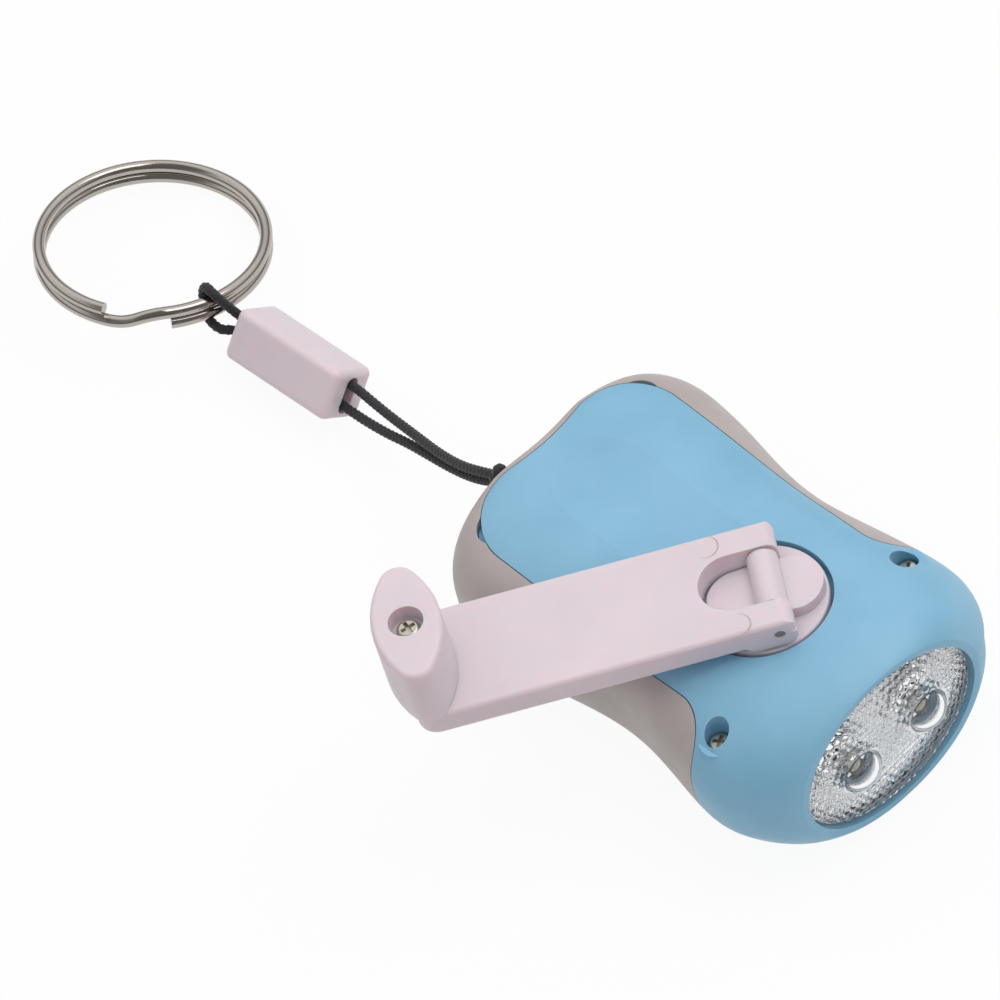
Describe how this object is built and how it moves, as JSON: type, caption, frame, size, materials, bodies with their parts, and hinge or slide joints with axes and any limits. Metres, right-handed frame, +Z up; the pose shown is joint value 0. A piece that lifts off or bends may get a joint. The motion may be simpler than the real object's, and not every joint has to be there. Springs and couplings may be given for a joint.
{
  "type": "hand crank flashlight key ring",
  "caption": "Pocket flashlight charged by a fold-out hand crank: hourglass body with an oval lens, pivoting crank and knob, gear train and generator, and a key ring on a corded bead.",
  "frame": {"origin": "where the crank's axis meets the plane of the flat underside", "axes": "+X towards the lens, +Z up along the crank's axis, +Y to the left when looking along +X"},
  "size_m": [0.1488, 0.0619, 0.0395],
  "materials": {
    "cover_plastic": "satin",
    "shell_plastic": "satin",
    "clear_plastic": "gloss",
    "lamp_resin": "gloss",
    "bright_coating": "polished",
    "crank_plastic": "satin",
    "nickel_steel": "polished",
    "pin_steel": "satin",
    "gear_plastic": "satin",
    "copper_wire": "satin",
    "magnet_ferrite": "matte",
    "board_laminate": "matte",
    "cell_case": "satin",
    "component_black": "matte",
    "cord_textile": "matte"
  },
  "bodies": {
    "housing": {"top_cover": "cover_plastic", "bottom_shell": "shell_plastic", "lens": "clear_plastic", "reflector": "bright_coating", "led_lamps": "lamp_resin", "led_leads": "nickel_steel", "front_screws": "nickel_steel", "rear_screws": "nickel_steel", "gear_plate": "gear_plastic", "gear_plate_screws": "nickel_steel", "idler_axle_1": "pin_steel", "idler_axle_2": "pin_steel", "stator_lower": "pin_steel", "stator_upper": "pin_steel", "coil_bobbin": "gear_plastic", "coil_winding": "copper_wire", "circuit_board": "board_laminate", "rechargeable_cell": "cell_case", "cell_clip": "nickel_steel", "rectifier_diodes": "component_black", "storage_capacitor": "component_black", "generator_leads": "copper_wire", "cord_bar": "pin_steel", "lanyard_cord": "cord_textile", "cord_hitch": "cord_textile"},
    "crank": {"crank_hub": "crank_plastic", "drive_gear": "gear_plastic", "hub_washer": "nickel_steel", "hub_screw": "nickel_steel"},
    "arm": {"crank_arm": "crank_plastic", "hinge_pin": "pin_steel", "knob_screw": "nickel_steel"},
    "knob": {"crank_knob": "crank_plastic"},
    "idler_1": {"idler_gear_1": "gear_plastic"},
    "idler_2": {"idler_gear_2": "gear_plastic"},
    "rotor": {"rotor_shaft": "pin_steel", "rotor_magnet": "magnet_ferrite", "rotor_pinion": "gear_plastic"},
    "bead": {"cord_bead": "crank_plastic"},
    "ring": {"split_ring": "nickel_steel"}
  },
  "joints": [
    {"name": "crank_spin", "type": "hinge", "parent": "housing", "child": "crank", "pos_m": [0, 0, 0.0239], "axis": [0, 0, 1], "continuous": true},
    {"name": "crank_fold", "type": "hinge", "parent": "crank", "child": "arm", "pos_m": [0.00054, 0.00081, 0.0279], "axis": [-0.8339, 0.5519, 0], "range_deg": [0, 180]},
    {"name": "knob_spin", "type": "hinge", "parent": "arm", "child": "knob", "pos_m": [-0.02309, -0.03488, 0.0347], "axis": [0, 0, 1], "continuous": true},
    {"name": "idler_1_spin", "type": "hinge", "parent": "housing", "child": "idler_1", "pos_m": [-0.014, 0, 0.018], "axis": [0, 0, 1], "continuous": true},
    {"name": "idler_2_spin", "type": "hinge", "parent": "housing", "child": "idler_2", "pos_m": [-0.02488, 0.00507, 0.016], "axis": [0, 0, 1], "continuous": true},
    {"name": "rotor_spin", "type": "hinge", "parent": "housing", "child": "rotor", "pos_m": [-0.02177, -0.00652, 0.0105], "axis": [0, 0, 1], "continuous": true},
    {"name": "bead_slide", "type": "slide", "parent": "housing", "child": "bead", "axis": [-0.9992, -0.0401, -0.0087], "range_m": [-0.0015, 0.001]},
    {"name": "ring_swing", "type": "hinge", "parent": "housing", "child": "ring", "pos_m": [-0.09985, -0.00514, 0.00693], "axis": [0.197, 0.9498, -0.2431], "range_deg": [0, 25]}
  ],
  "couplings": [
    {"joint": "idler_1_spin", "follows": "crank_spin", "ratio": -3.6667},
    {"joint": "idler_2_spin", "follows": "crank_spin", "ratio": 11},
    {"joint": "rotor_spin", "follows": "crank_spin", "ratio": -33}
  ]
}
